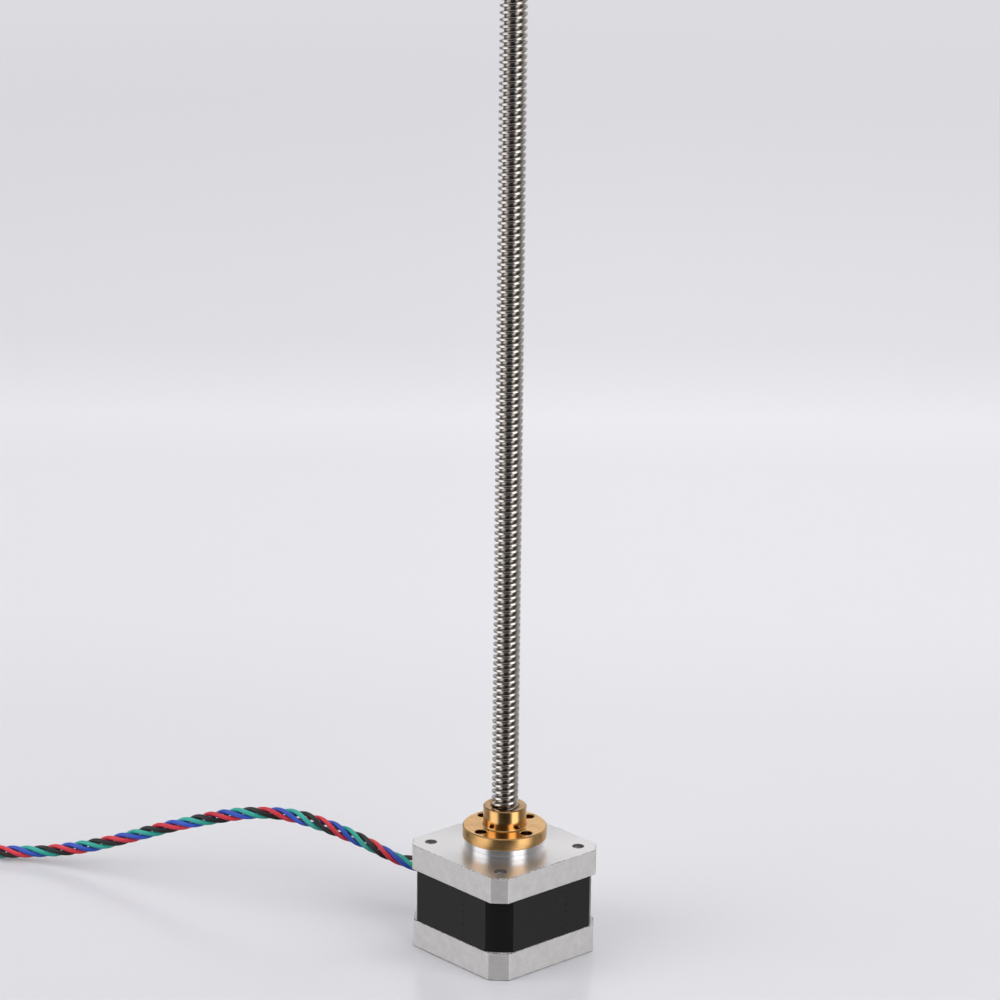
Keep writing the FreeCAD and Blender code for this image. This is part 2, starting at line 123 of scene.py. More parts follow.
CORD_RADIUS = 1.75
LEAD_RADIUS = 0.725
LEAD_LAY = 18.25
LEAD_PHASE = 0.015
LIFTED_LEAD = 3


# ------------------------------ mesh helpers

def finish_mesh(name, vertices, faces, material, angle=35.0, weighted=True):
    """A piece from vertices in millimetres and faces, shaded smooth up to an angle in degrees."""
    mesh = bpy.data.meshes.new(name)
    mesh.from_pydata([tuple(v) for v in np.asarray(vertices, float) * MM], [], faces)
    mesh.validate()
    mesh.update()
    piece = bpy.data.objects.new(name, mesh)
    bpy.context.scene.collection.objects.link(piece)
    if material:
        mesh.materials.append(material)
    shade(piece, angle, weighted)
    return piece


def shade(piece, angle=35.0, weighted=True):
    piece.data.shade_smooth()
    piece.data.set_sharp_from_angle(angle=math.radians(angle))
    if weighted:
        modifier = piece.modifiers.new("normals", "WEIGHTED_NORMAL")
        modifier.keep_sharp = True
        modifier.weight = 80


def rounded(points, radius, steps=4, closed=True):
    """Outline with arcs for corners, smaller on short sides. One radius, or one for each corner."""
    points = [np.asarray(p, float) for p in points]
    count = len(points)
    radii = radius if isinstance(radius, list) else [radius] * count
    result = []
    for k, corner in enumerate(points):
        if radii[k] == 0 or (not closed and k in (0, count - 1)):
            result.append(corner)
            continue
        before = points[k - 1] - corner
        after = points[(k + 1) % count] - corner
        length_before, length_after = np.linalg.norm(before), np.linalg.norm(after)
        before, after = before / length_before, after / length_after
        half_angle = math.acos(np.clip(before @ after, -1, 1)) / 2
        if half_angle > math.radians(88):
            result.append(corner)
            continue
        reach = min(radii[k] / math.tan(half_angle), 0.45 * length_before, 0.45 * length_after)
        actual = reach * math.tan(half_angle)
        bisector = (before + after) / np.linalg.norm(before + after)
        centre = corner + bisector * (actual / math.sin(half_angle))
        start, end = corner + before * reach - centre, corner + after * reach - centre
        sweep = math.acos(np.clip(start @ end / actual ** 2, -1, 1))
        for step in range(steps + 1):
            t = step / steps
            arm = (math.sin((1 - t) * sweep) * start + math.sin(t * sweep) * end) / math.sin(sweep)
            result.append(centre + arm)
    return result


def rectangle(x0, y0, x1, y1):
    return [(x0, y0), (x1, y0), (x1, y1), (x0, y1)]


def lathe(name, profile, material=None, segments=128, centre=(0, 0), closed=True, angle=35.0):
    """Solid of revolution about a vertical axis, with a pole where the profile is on the axis."""
    vertices, faces, rings = [], [], []
    for radius, z in profile:
        if radius < 1e-6:
            rings.append([len(vertices)])
            vertices.append((centre[0], centre[1], z))
            continue
        rings.append(list(range(len(vertices), len(vertices) + segments)))
        for k in range(segments):
            turn = 2 * math.pi * k / segments
            vertices.append((centre[0] + radius * math.cos(turn), centre[1] + radius * math.sin(turn), z))
    pairs = list(zip(rings[:-1], rings[1:]))
    if closed and len(rings[0]) > 1:
        pairs.append((rings[-1], rings[0]))
    for one, other in pairs:
        for k in range(segments):
            n = (k + 1) % segments
            if len(one) == 1 and len(other) == 1:
                break
            if len(one) == 1:
                faces.append((one[0], other[n], other[k]))
            elif len(other) == 1:
                faces.append((one[k], one[n], other[0]))
            else:
                faces.append((one[k], one[n], other[n], other[k]))
    piece = finish_mesh(name, vertices, faces, material, angle)
    outward(piece)
    return piece


def outward(piece):
    work = bmesh.new()
    work.from_mesh(piece.data)
    bmesh.ops.recalc_face_normals(work, faces=work.faces)
    work.to_mesh(piece.data)
    work.free()
    return piece


def stack(name, outlines, material=None, angle=35.0):
    """Closed solid through flat outlines, one above the other, each a list of (x, y, z) of one length."""
    count = len(outlines[0])
    vertices = [p for outline in outlines for p in outline]
    faces = [tuple(range(count))[::-1], tuple(range(len(vertices) - count, len(vertices)))]
    for level in range(len(outlines) - 1):
        for k in range(count):
            n = (k + 1) % count
            low, high = level * count, (level + 1) * count
            faces.append((low + k, low + n, high + n, high + k))
    return outward(finish_mesh(name, vertices, faces, material, angle))


def at_height(outline, z):
    return [(p[0], p[1], z) for p in outline]


def prism(name, outline, low, high, material=None):
    return stack(name, [at_height(outline, low), at_height(outline, high)], material)


def carve(piece, cutters):
    """Cuts each of the cutters out of the piece, exactly, and removes them."""
    for cutter in cutters:
        modifier = piece.modifiers.new("cut", "BOOLEAN")
        modifier.operation = "DIFFERENCE"
        modifier.solver = "EXACT"
        modifier.object = cutter
        piece.modifiers.move(len(piece.modifiers) - 1, 0)
        bpy.context.view_layer.update()
        depsgraph = bpy.context.evaluated_depsgraph_get()
        others = [m for m in piece.modifiers if m.name != modifier.name]
        for m in others:
            m.show_viewport = False
        depsgraph.update()
        mesh = bpy.data.meshes.new_from_object(piece.evaluated_get(depsgraph))
        piece.modifiers.remove(modifier)
        for m in others:
            m.show_viewport = True
        old = piece.data
        piece.data = mesh
        bpy.data.meshes.remove(old)
        bpy.data.objects.remove(cutter)
    piece.data.name = piece.name
    piece.data.shade_smooth()
    piece.data.set_sharp_from_angle(angle=math.radians(35))
    return piece


# ------------------------------ camera

CAMERA_AZIMUTH = 47.876
CAMERA_ELEVATION = 16.723
CAMERA_ROLL = 0.606
CAMERA_PLACE = Vector((0.79154, -0.71907, 0.46058))
CAMERA_LENS = 138.77


def around(azimuth, elevation, distance):
    """Place around the object; azimuth counts to the right from the camera's side."""
    turn = math.radians(CAMERA_AZIMUTH + azimuth)
    rise = math.radians(elevation)
    flat = math.cos(rise)
    return distance * Vector((math.sin(turn) * flat, -math.cos(turn) * flat, math.sin(rise)))


def make_camera():
    azimuth, roll = math.radians(CAMERA_AZIMUTH), math.radians(CAMERA_ROLL)
    back = around(0, CAMERA_ELEVATION, 1)
    level_right = Vector((math.cos(azimuth), math.sin(azimuth), 0))
    level_up = back.cross(level_right)
    right = level_right * math.cos(roll) + level_up * math.sin(roll)
    up = back.cross(right)
    data = bpy.data.cameras.new("camera")
    data.sensor_width = 36
    data.lens = CAMERA_LENS
    data.clip_start, data.clip_end = 0.05, 30
    camera = bpy.data.objects.new("camera", data)
    camera.matrix_world = Matrix((right, up, back)).transposed().to_4x4()
    camera.location = CAMERA_PLACE
    bpy.context.scene.collection.objects.link(camera)
    bpy.context.scene.camera = camera


# ------------------------------ cable

COIL_CENTRE = (coil_low + coil_high) / 2
COIL_OUTER_TURN = (coil_high.x - coil_low.x) / 2 - CORD_RADIUS
COIL_INNER_TURN = COIL_OUTER_TURN - 2 * CORD_RADIUS
COIL_TURNS = 2
COIL_POINTS_PER_TURN = 16
COIL_ENTRY = math.radians(127.8)
COIL_Z = COIL_CENTRE.z
CABLE_ROUTE = [
    (-22.35, 0, 5.9),
    (-29.2, 0.6, 7.3),
    (-34.4, 1.3, 12.9),
    (-41.9, -3.7, 14.5),
    (-58.9, -11.9, 21.4),
    (-77.8, -25.4, 27.1),
    (-103.8, -40.9, 18.7),
    (-132.3, -58.5, 5.5),
    (-155, -75.5, 1.8),
]
TAIL_ROUTE = [
    (5, 0.1, 6.2),
    (16.5, 0.6, 6.4),
    (26, -0.2, 2.9),
    (35, -2.2, 2.9),
]


def coil_point(onward, outward_by, z):
    cos, sin = math.cos(COIL_ENTRY), math.sin(COIL_ENTRY)
    x = COIL_CENTRE.x - onward * sin + outward_by * cos
    y = COIL_CENTRE.y + onward * cos + outward_by * sin
    return (x, y, z)


def cable_points():
    points = list(CABLE_ROUTE)
    total = COIL_TURNS * COIL_POINTS_PER_TURN
    for k in range(total):
        turn = COIL_ENTRY + 2 * math.pi * k / COIL_POINTS_PER_TURN
        radius = COIL_OUTER_TURN + (COIL_INNER_TURN - COIL_OUTER_TURN) * k / total
        x = COIL_CENTRE.x + radius * math.cos(turn)
        y = COIL_CENTRE.y + radius * math.sin(turn)
        points.append((x, y, COIL_Z))
    points += [coil_point(onward, COIL_INNER_TURN + side, z) for onward, side, z in TAIL_ROUTE]
    return points


def spline_line(points):
    """Points along the smooth line that has these as its control points, in millimetres."""
    data = bpy.data.curves.new("cable_line", "CURVE")
    data.dimensions = "3D"
    data.resolution_u = 24
    spline = data.splines.new("NURBS")
    spline.points.add(len(points) - 1)
    for place, point in zip(spline.points, points):
        place.co = (point[0] * MM, point[1] * MM, point[2] * MM, 1)
    spline.order_u = 3
    spline.use_endpoint_u = True
    curve = bpy.data.objects.new("cable_line", data)
    bpy.context.scene.collection.objects.link(curve)
    bpy.context.view_layer.update()
    mesh = bpy.data.meshes.new_from_object(curve)
    line = np.array([v.co for v in mesh.vertices]) / MM
    bpy.data.meshes.remove(mesh)
    bpy.data.objects.remove(curve)
    return line


def resampled(line, step):
    lengths = np.concatenate([[0], np.cumsum(np.linalg.norm(np.diff(line, axis=0), axis=1))])
    count = int(lengths[-1] / step) + 1
    along = np.linspace(0, lengths[-1], count)
    return np.stack([np.interp(along, lengths, line[:, axis]) for axis in range(3)], axis=1), along


def frames_along(line):
    """Directions along the line and two across it, which turn as little as they can."""
    tangents = np.gradient(line, axis=0)
    tangents /= np.linalg.norm(tangents, axis=1)[:, None]
    first = np.cross(tangents[0], (0, 0, 1))
    first /= np.linalg.norm(first)
    sides = [first]
    for tangent in tangents[1:]:
        side = sides[-1] - (sides[-1] @ tangent) * tangent
        sides.append(side / np.linalg.norm(side))
    sides = np.array(sides)
    return tangents, sides, np.cross(tangents, sides)


def tube(centres, radius, segments=14):
    """Vertices and faces of a closed tube around a line of centres."""
    _, sides, ups = frames_along(centres)
    turns = 2 * np.pi * np.arange(segments) / segments
    rings = centres[:, None] + radius * (
        np.cos(turns)[None, :, None] * sides[:, None] + np.sin(turns)[None, :, None] * ups[:, None])
    vertices = rings.reshape(-1, 3)
    faces = []
    for level in range(len(centres) - 1):
        for k in range(segments):
            n = (k + 1) % segments
            low, high = level * segments, (level + 1) * segments
            faces.append((low + k, low + n, high + n, high + k))
    last = (len(centres) - 1) * segments
    faces.append(tuple(range(segments))[::-1])
    faces.append(tuple(range(last, last + segments)))
    return vertices, faces


def eased(value, low, high):
    """Smooth rise from 0 to 1 as value goes from low to high."""
    t = np.clip((value - low) / (high - low), 0, 1)
    return t * t * (3 - 2 * t)


def twist_radius(along):
    """Tight at the motor and in the coil, and loose between them, most of all at the top of the arch."""
    tight = CORD_RADIUS - LEAD_RADIUS - 0.15 * (1 - eased(along, 20, 28))
    free = eased(along, 22, 40) * (1 - eased(along, 165, 185))
    arch = eased(along, 34, 46) * (1 - eased(along, 56, 68))
    uneven = 0.06 * np.sin(along / 4.1) + 0.05 * np.sin(along / 6.7 + 1)
    return tight + free * (0.24 + uneven) + 0.20 * arch


def make_cable(materials):
    line = spline_line(cable_points())
    centres, along = resampled(line, 0.6)
    tangents, sides, ups = frames_along(centres)
    radius = twist_radius(along)[:, None]
    fan = eased(along, along[-1] - 14, along[-1])
    level = np.cross((0, 0, 1), tangents)
    level /= np.linalg.norm(level, axis=1)[:, None]
    lift = 1.3 * eased(along, 5, 17) * (1 - eased(along, 19, 29))
    vertices, faces, slots = [], [], []
    for k in range(4):
        turn = 2 * np.pi * (along / LEAD_LAY + LEAD_PHASE + k / 4)
        twisted = radius * (np.cos(turn)[:, None] * sides + np.sin(turn)[:, None] * ups)
        if k == LIFTED_LEAD:
            twisted[:, 2] += lift
        spread = (k - 1.5) * 2.3 * level
        lead = centres + (1 - fan)[:, None] * twisted + fan[:, None] * spread
        lead_vertices, lead_faces = tube(lead, LEAD_RADIUS)
        base = sum(len(v) for v in vertices)
        vertices.append(lead_vertices)
        faces += [tuple(index + base for index in face) for face in lead_faces]
        slots += [k] * len(lead_faces)
    cable = finish_mesh("cable_leads", np.concatenate(vertices), faces, None, 60, False)
    for material in materials:
        cable.data.materials.append(material)
    cable.data.polygons.foreach_set("material_index", slots)
    outward(cable)
    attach(cable, "motor")
    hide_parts("cable_run", "cable_coil", "cable_tail")


# ------------------------------ material helpers

class Nodes:
    """A node tree, with the calls that the materials and the sky use."""

    def __init__(self, tree):
        self.tree = tree

    def put(self, node, socket, value):
        target = node.inputs[socket]
        if isinstance(value, bpy.types.NodeSocket):
            self.tree.links.new(value, target)
        elif isinstance(value, tuple) and len(value) == 3 and len(getattr(target, "default_value", ())) == 4:
            target.default_value = (*value, 1)
        else:
            target.default_value = value

    def add(self, kind, inputs=None, **settings):
        node = self.tree.nodes.new("ShaderNode" + kind)
        for key, value in settings.items():
            setattr(node, key, value)
        for socket, value in (inputs or {}).items():
            self.put(node, socket, value)
        return node

    def math(self, operation, a, b=0.0):
        return self.add("Math", {0: a, 1: b}, operation=operation).outputs[0]

    def noise(self, vector, scale, detail, roughness):
        inputs = {"Vector": vector, "Scale": scale, "Detail": detail, "Roughness": roughness}
        return self.add("TexNoise", inputs).outputs["Fac"]

    def spread(self, value, low, high, new_low=0.0, new_high=1.0, kind="LINEAR"):
        """The value from low to high as one from new_low to new_high, and no further."""
        node = self.add("MapRange", {
            "Value": value, "From Min": low, "From Max": high, "To Min": new_low, "To Max": new_high},
            interpolation_type=kind)
        return node.outputs["Result"]

    def eased(self, value, low, high, new_low=0.0, new_high=1.0):
        return self.spread(value, low, high, new_low, new_high, "SMOOTHSTEP")

    def mix(self, factor, one, other):
        node = self.add("Mix", data_type="RGBA")
        for index, value in ((0, factor), (6, one), (7, other)):
            self.put(node, index, value)
        return node.outputs[2]


MATERIALS = {}


class Graph(Nodes):
    """One material: its shader, the piece's own coordinates and what is worked out from them."""

    def __init__(self, name, **settings):
        self.material = bpy.data.materials.new(name)
        MATERIALS[name] = self.material
        self.material.use_nodes = True
        super().__init__(self.material.node_tree)
        self.shader = self.tree.nodes["Principled BSDF"]
        self.coordinates = self.add("TexCoord").outputs["Object"]
        self.done(**settings)

    def done(self, **settings):
        """Sets these inputs of the shader and returns the material."""
        for socket, value in settings.items():
            self.put(self.shader, socket.replace("_", " "), value)
        return self.material

    def grain(self, scale, detail, roughness, upright=None):
        """Noise over the piece; upright scales it along the height, so below 1 it is drawn out."""
        vector = self.coordinates
        if upright is not None:
            vector = self.add("Mapping", {"Vector": vector, "Scale": (1, 1, upright)}).outputs[0]
        return self.noise(vector, scale, detail, roughness)

    def bump(self, height, strength, distance):
        inputs = {"Height": height, "Strength": strength, "Distance": distance}
        return self.add("Bump", inputs).outputs["Normal"]

    def position(self):
        node = self.add("SeparateXYZ", {"Vector": self.coordinates})
        return node.outputs[0], node.outputs[1], node.outputs[2]

    def upward(self):
        """How far the surface faces up: 1 on top, 0 on a wall, -1 underneath."""
        normal = self.add("NewGeometry").outputs["Normal"]
        return self.add("SeparateXYZ", {"Vector": normal}).outputs[2]

    def radius(self):
        x, y, _ = self.position()
        square = self.math("ADD", self.math("MULTIPLY", x, x), self.math("MULTIPLY", y, y))
        return self.math("SQRT", square)

    def lines_in(self, value, scale):
        """Noise that changes only with one value, as turning marks do."""
        vector = self.add("CombineXYZ", {0: value, 1: 0.37, 2: 0.11}).outputs[0]
        return self.noise(vector, scale, 3.0, 0.65)


def metal(name, colour, roughness):
    return Graph(name, Base_Color=colour, Metallic=1.0, Roughness=roughness)


# ------------------------------ materials

def cast_aluminium():
    """Milled bar: a fine mottled grain, and a speckled dark line along its rounded edges."""
    graph = metal("cast_aluminium", (0.80, 0.79, 0.79), 0.5)
    flat = graph.math("ABSOLUTE", graph.upward())
    grain = graph.grain(3600, 3.0, 0.7, 0.5)
    blotches = graph.grain(330, 4.0, 0.6)
    tone = graph.math("ADD", graph.math("MULTIPLY", grain, 0.5), graph.math("MULTIPLY", blotches, 0.5))
    colour = graph.mix(graph.spread(tone, 0.36, 0.64), (0.70, 0.685, 0.685), (0.84, 0.83, 0.83))
    edge = graph.math("MULTIPLY", graph.spread(flat, 0.25, 0.45), graph.spread(flat, 0.97, 0.9))
    specks = graph.spread(graph.grain(1900, 2.0, 0.8), 0.47, 0.56)
    colour = graph.mix(graph.math("MULTIPLY", edge, specks), colour, (0.08, 0.075, 0.075))
    return graph.done(
        Base_Color=colour,
        Metallic=0.72,
        Roughness=graph.spread(grain, 0.3, 0.7, 0.46, 0.60),
        Normal=graph.bump(grain, 0.2, 0.04 * MM))


def faced_aluminium():
    """Flat face turned in fine circles, which spread what they mirror towards and away from the middle."""
    graph = metal("faced_aluminium", (0.86, 0.855, 0.87), 0.3)
    fine = graph.grain(5200, 2.0, 0.5)
    blotches = graph.grain(330, 4.0, 0.6)
    colour = graph.mix(graph.spread(fine, 0.3, 0.7), (0.84, 0.835, 0.85), (0.88, 0.875, 0.89))
    return graph.done(
        Base_Color=colour,
        Roughness=graph.spread(blotches, 0.3, 0.7, 0.29, 0.34),
        Anisotropic=0.6,
        Anisotropic_Rotation=0.25,
        Normal=graph.bump(fine, 0.01, 0.04 * MM))


def turned_aluminium():
    graph = metal("turned_aluminium", (0.93, 0.92, 0.93), 0.1)
    _, _, z = graph.position()
    marks = graph.math("ADD", graph.lines_in(z, 9000), graph.lines_in(graph.radius(), 7000))
    return graph.done(
        Roughness=graph.spread(marks, 0.6, 1.4, 0.07, 0.14),
        Normal=graph.bump(marks, 0.08, 0.02 * MM))


def nut_brass():
    """Turned brass: fine rings from the tool, a little brown tarnish in patches, and painted shade that
    darkens the top end.
    """
    graph = metal("nut_brass", (0.80, 0.49, 0.19), 0.2)
    _, _, z = graph.position()
    marks = graph.math("ADD", graph.lines_in(z, 8000), graph.lines_in(graph.radius(), 6500))
    patches = graph.grain(260, 4.0, 0.6)
    colour = graph.mix(graph.spread(patches, 0.35, 0.7), (0.83, 0.51, 0.21), (0.70, 0.40, 0.15))
    colour = graph.mix(graph.spread(marks, 1.05, 1.35), colour, (0.60, 0.34, 0.12))
    # painted shade: the top end face and its rim are darkened in the colour
    top_end_painted_shade = graph.spread(z, (nut_high.z - 0.3) * MM, (nut_high.z - 0.15) * MM, 0.0, 0.8)
    colour = graph.mix(top_end_painted_shade, colour, (0.44, 0.28, 0.14))
    flat = graph.spread(graph.upward(), 0.7, 0.95, 0.0, 0.03)
    rim_radius = NUT_FLANGE_RADIUS - 0.3
    rim = graph.spread(graph.radius(), rim_radius * MM, (rim_radius + 0.2) * MM, 0.0, 0.12)
    roughness = graph.math("ADD", graph.spread(marks, 0.6, 1.4, 0.09, 0.18), graph.math("ADD", flat, rim))
    return graph.done(Base_Color=colour, Roughness=roughness, Normal=graph.bump(marks, 0.18, 0.02 * MM))


def screw_steel():
    """Rolled stainless thread: polished crests, duller grooves darkened by depth as painted shade, and a
    brown-grey film in random patches.
    """
    graph = metal("screw_steel", (0.72, 0.70, 0.68), 0.2)
    depth = graph.spread(graph.radius(), 2.85 * MM, 3.8 * MM)
    film = graph.grain(900, 3.0, 0.6, 0.3)
    # painted shade: the colour darkens down in the grooves by depth
    colour = graph.mix(depth, (0.44, 0.40, 0.37), (0.80, 0.775, 0.75))
    colour = graph.mix(graph.spread(film, 0.45, 0.75, 0.0, 0.35), colour, (0.42, 0.38, 0.35))
    rough = graph.math("ADD", graph.spread(depth, 0, 1, 0.18, 0.11), graph.spread(film, 0.3, 0.7, 0.0, 0.05))
    marks = graph.grain(900, 3.0, 0.6, 6)
    return graph.done(Base_Color=colour, Roughness=rough, Normal=graph.bump(marks, 0.08, 0.02 * MM))


def black_lamination():
    """Black enamel over a stack of thin sheets: a faint line at each sheet and a soft orange peel."""
    graph = Graph("black_lamination", Roughness=0.3)
    _, _, z = graph.position()
    sheet = 0.5 * MM
    wave = graph.math("SINE", graph.math("MULTIPLY", z, 2 * math.pi / sheet))
    peel = graph.grain(700, 2.0, 0.5)
    dust = graph.grain(3800, 2.0, 0.6)
    colour = graph.mix(graph.spread(dust, 0.62, 0.8), (0.0065, 0.006, 0.007), (0.011, 0.0105, 0.0115))
    roughness = graph.spread(peel, 0.3, 0.7, 0.28, 0.34)
    height = graph.math("ADD", graph.math("MULTIPLY", wave, 0.12), graph.math("MULTIPLY", peel, 0.3))
    return graph.done(Base_Color=colour, Roughness=roughness, Normal=graph.bump(height, 0.12, 0.03 * MM))


def steel(name, colour, low, high, scale=1500):
    graph = metal(name, colour, low)
    grain = graph.grain(scale, 3.0, 0.6)
    darker = tuple(0.72 * c for c in colour)
    return graph.done(
        Base_Color=graph.mix(graph.spread(grain, 0.4, 0.7), colour, darker),
        Roughness=graph.spread(grain, 0.3, 0.7, low, high),
        Normal=graph.bump(grain, 0.08, 0.03 * MM))


def plastic(name, colour, low, high, scale=1200, bump=0.08):
    graph = Graph(name, Roughness=low)
    grain = graph.grain(scale, 2.0, 0.5)
    wide = graph.grain(scale / 12, 3.0, 0.5)
    darker = tuple(0.8 * c for c in colour)
    return graph.done(
        Base_Color=graph.mix(graph.spread(wide, 0.35, 0.7), colour, darker),
        Roughness=graph.spread(grain, 0.3, 0.7, low, high),
        Normal=graph.bump(grain, bump, 0.05 * MM))


def wound_copper():
    graph = Graph("enamelled_copper", Metallic=0.85, Roughness=0.3)
    x, y, z = graph.position()
    along = graph.math("ADD", graph.math("ADD", x, y), z)
    wave = graph.math("SINE", graph.math("MULTIPLY", along, 2 * math.pi / (0.35 * MM)))
    # painted shade: the colour darkens in the valleys between the wire turns
    colour = graph.mix(graph.spread(wave, -1, 0.2), (0.20, 0.06, 0.02), (0.60, 0.22, 0.08))
    return graph.done(Base_Color=colour, Normal=graph.bump(wave, 0.5, 0.08 * MM))


def cable_jacket(name, colour):
    """Extruded lead insulation: slightly uneven gloss and small scuffs."""
    graph = Graph(name, Roughness=0.34)
    scuffs = graph.grain(1100, 4.0, 0.7)
    wide = graph.grain(90, 2.0, 0.5)
    lighter = tuple(min(1.0, c * 1.25 + 0.015) for c in colour)
    tone = graph.mix(graph.spread(wide, 0.35, 0.7), colour, lighter)
    return graph.done(
        Base_Color=tone,
        Roughness=graph.spread(scuffs, 0.3, 0.75, 0.27, 0.5),
        Normal=graph.bump(scuffs, 0.1, 0.03 * MM))


def fibre_board():
    graph = Graph("board_green", Roughness=0.35)
    x, y, _ = graph.position()
    weave = graph.math("MULTIPLY", graph.math("SINE", graph.math("MULTIPLY", x, 9000)),
                       graph.math("SINE", graph.math("MULTIPLY", y, 9000)))
    return graph.done(
        Base_Color=graph.mix(graph.spread(weave, -1, 1), (0.02, 0.16, 0.05), (0.04, 0.24, 0.09)),
        Normal=graph.bump(weave, 0.1, 0.03 * MM))


def make_materials():
    cast_aluminium()
    faced_aluminium()
    turned_aluminium()
    # dark grey painted shade for the countersinks of the front face
    steel("countersink_painted_shade", (0.24, 0.235, 0.235), 0.3, 0.45)
    nut_brass()
    screw_steel()
    black_lamination()
    steel("core_steel", (0.40, 0.40, 0.41), 0.35, 0.5)
    steel("magnet_grey", (0.24, 0.24, 0.26), 0.45, 0.6, 900)
    steel("spacer_steel", (0.60, 0.60, 0.61), 0.25, 0.4)
    steel("bearing_steel", (0.70, 0.70, 0.71), 0.12, 0.22)
    steel("cage_steel", (0.60, 0.60, 0.58), 0.28, 0.4)
    steel("fastener_steel", (0.44, 0.44, 0.45), 0.3, 0.45, 2200)
    steel("tinned_metal", (0.76, 0.75, 0.72), 0.25, 0.4, 2500)
    plastic("white_nylon", (0.78, 0.78, 0.74), 0.4, 0.55)
    plastic("connector_white", (0.80, 0.79, 0.74), 0.35, 0.5)
    plastic("black_rubber", (0.018, 0.018, 0.018), 0.5, 0.7, 900, 0.15)
    plastic("tie_black", (0.02, 0.02, 0.021), 0.4, 0.55, 1500)
    wound_copper()
    fibre_board()
    cable_jacket("lead_red", (0.50, 0.02, 0.04))
    cable_jacket("lead_blue", (0.016, 0.06, 0.38))
    cable_jacket("lead_green", (0.018, 0.30, 0.25))
    cable_jacket("lead_black", (0.012, 0.012, 0.013))


def paint_frame_nodes():
    for part in frame["record"]["subparts"]:
        piece = frame["nodes"][part["node"]]
        piece.data.materials.clear()
        piece.data.materials.append(MATERIALS[part["material_slot"]])


# ------------------------------ motor frame

def chamfered_square(half, leg, round_by):
    c = half - leg
    corners = [(half, -c), (half, c), (c, half), (-c, half), (-half, c), (-half, -c), (-c, -half), (c, -half)]
    return rounded(corners, round_by, 3)


def cap_block(name, low, high, leg, edge, material):
    """Square block with chamfered corners, and every edge rounded by a small radius."""
    steps = 4
    shrink = 2 - math.sqrt(2)
    turns = [math.pi / 2 * k / steps for k in range(steps + 1)]
    levels = [(edge * (1 - math.sin(turn)), low + edge * (1 - math.cos(turn))) for turn in turns]
    levels += [(edge * (1 - math.sin(turn)), high - edge * (1 - math.cos(turn))) for turn in reversed(turns)]
    outlines = [
        at_height(chamfered_square(FRAME_HALF - inset, leg - inset * shrink, 0.5), z) for inset, z in levels]
    return stack(name, outlines, material)


def cutter(profile, centre=(0, 0), segments=96):
    return lathe("cutter", profile, None, segments, centre)


def hole_profile(radius, low, high, sink_low=0.0, sink_high=0.0):
    """Round hole through two levels, widened by a 45 degree sink at either end."""
    beyond = 1.0
    points = [(0, low - beyond)]
    if sink_low:
        points += [(radius + sink_low + beyond, low - beyond), (radius, low + sink_low)]
    else:
        points.append((radius, low - beyond))
    if sink_high:
        points += [(radius, high - sink_high), (radius + sink_high + beyond, high + beyond)]
    else:
        points.append((radius, high + beyond))
    points.append((0, high + beyond))
    return points


def make_front_cap():
    cap = cap_block("front_cap_body", front_low.z, FACE, FRONT_CHAMFER, 0.22, MATERIALS["cast_aluminium"])
    roof, pocket_z = 29.4, 27.6
    inside = [
        (0, front_low.z - 1), (CAVITY_RADIUS, front_low.z - 1), (CAVITY_RADIUS, roof), (10.5, roof),
        (10.5, pocket_z), (BEARING_RADIUS, pocket_z), (BEARING_RADIUS, FACE + 1), (0, FACE + 1)]
    cutters = [cutter(inside)]
    for place in HOLE_PLACES:
        cutters.append(cutter(hole_profile(SCREW_RADIUS, front_low.z, FACE - 4.4, 0.3), place, 48))
        cutters.append(tapped_cutter(place))
    carve(cap, cutters)
    finish_front_face(cap)
    boss = rounded([
        (BEARING_RADIUS, FACE - 0.6), (PILOT_RADIUS + 0.02, FACE - 0.6), (PILOT_RADIUS + 0.02, FACE + 0.72),
        (PILOT_RADIUS - 0.22, FACE + 0.80), (PILOT_RADIUS - 0.22, FACE + 0.90), (PILOT_RADIUS, FACE + 0.98),
        (PILOT_RADIUS, PILOT_TOP), (4.75, PILOT_TOP), (4.75, BEARING_TOP), (BEARING_RADIUS, BEARING_TOP),
    ], 0.12, 3)
    pilot = lathe("pilot_boss", boss, MATERIALS["turned_aluminium"], 160)
    for piece in (cap, pilot):
        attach(piece, "motor")
        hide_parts("front_cap")


def tapped_cutter(place):
    """Threaded hole of the front face with its countersink; the thread is a stack of shallow grooves."""
    tap, deep, groove_pitch, beyond = TAP_RADIUS, SCREW_RADIUS, 0.5, 1.0
    bottom = FACE - 4.6
    points = [(0, bottom), (tap, bottom)]
    z = bottom + 0.2
    while z < FACE - 0.7:
        points += [(tap, z), (deep, z + groove_pitch / 2), (tap, z + groove_pitch)]
        z += groove_pitch
    points += [
        (tap, FACE - COUNTERSINK_DEPTH), (COUNTERSINK_RADIUS + beyond, FACE + beyond), (0, FACE + beyond)]
    unique = [points[0]]
    for point in points[1:]:
        if np.hypot(point[0] - unique[-1][0], point[1] - unique[-1][1]) > 1e-4:
            unique.append(point)
    return cutter(unique, place, 40)


def finish_front_face(cap):
    """The front face is turned smooth, and its countersinks are coloured dark grey as painted shade."""
    for name in ("faced_aluminium", "countersink_painted_shade"):
        cap.data.materials.append(MATERIALS[name])
    for face in cap.data.polygons:
        centre = face.center / MM
        if face.normal.z > 0.99 and centre.z > FACE - 0.02:
            face.material_index = 1
        # countersink faces get the dark grey painted shade
        elif FACE - 0.62 < centre.z < FACE - 0.02:
            if any(math.hypot(centre.x - x, centre.y - y) < 2.0 for x, y in HOLE_PLACES):
                face.material_index = 2


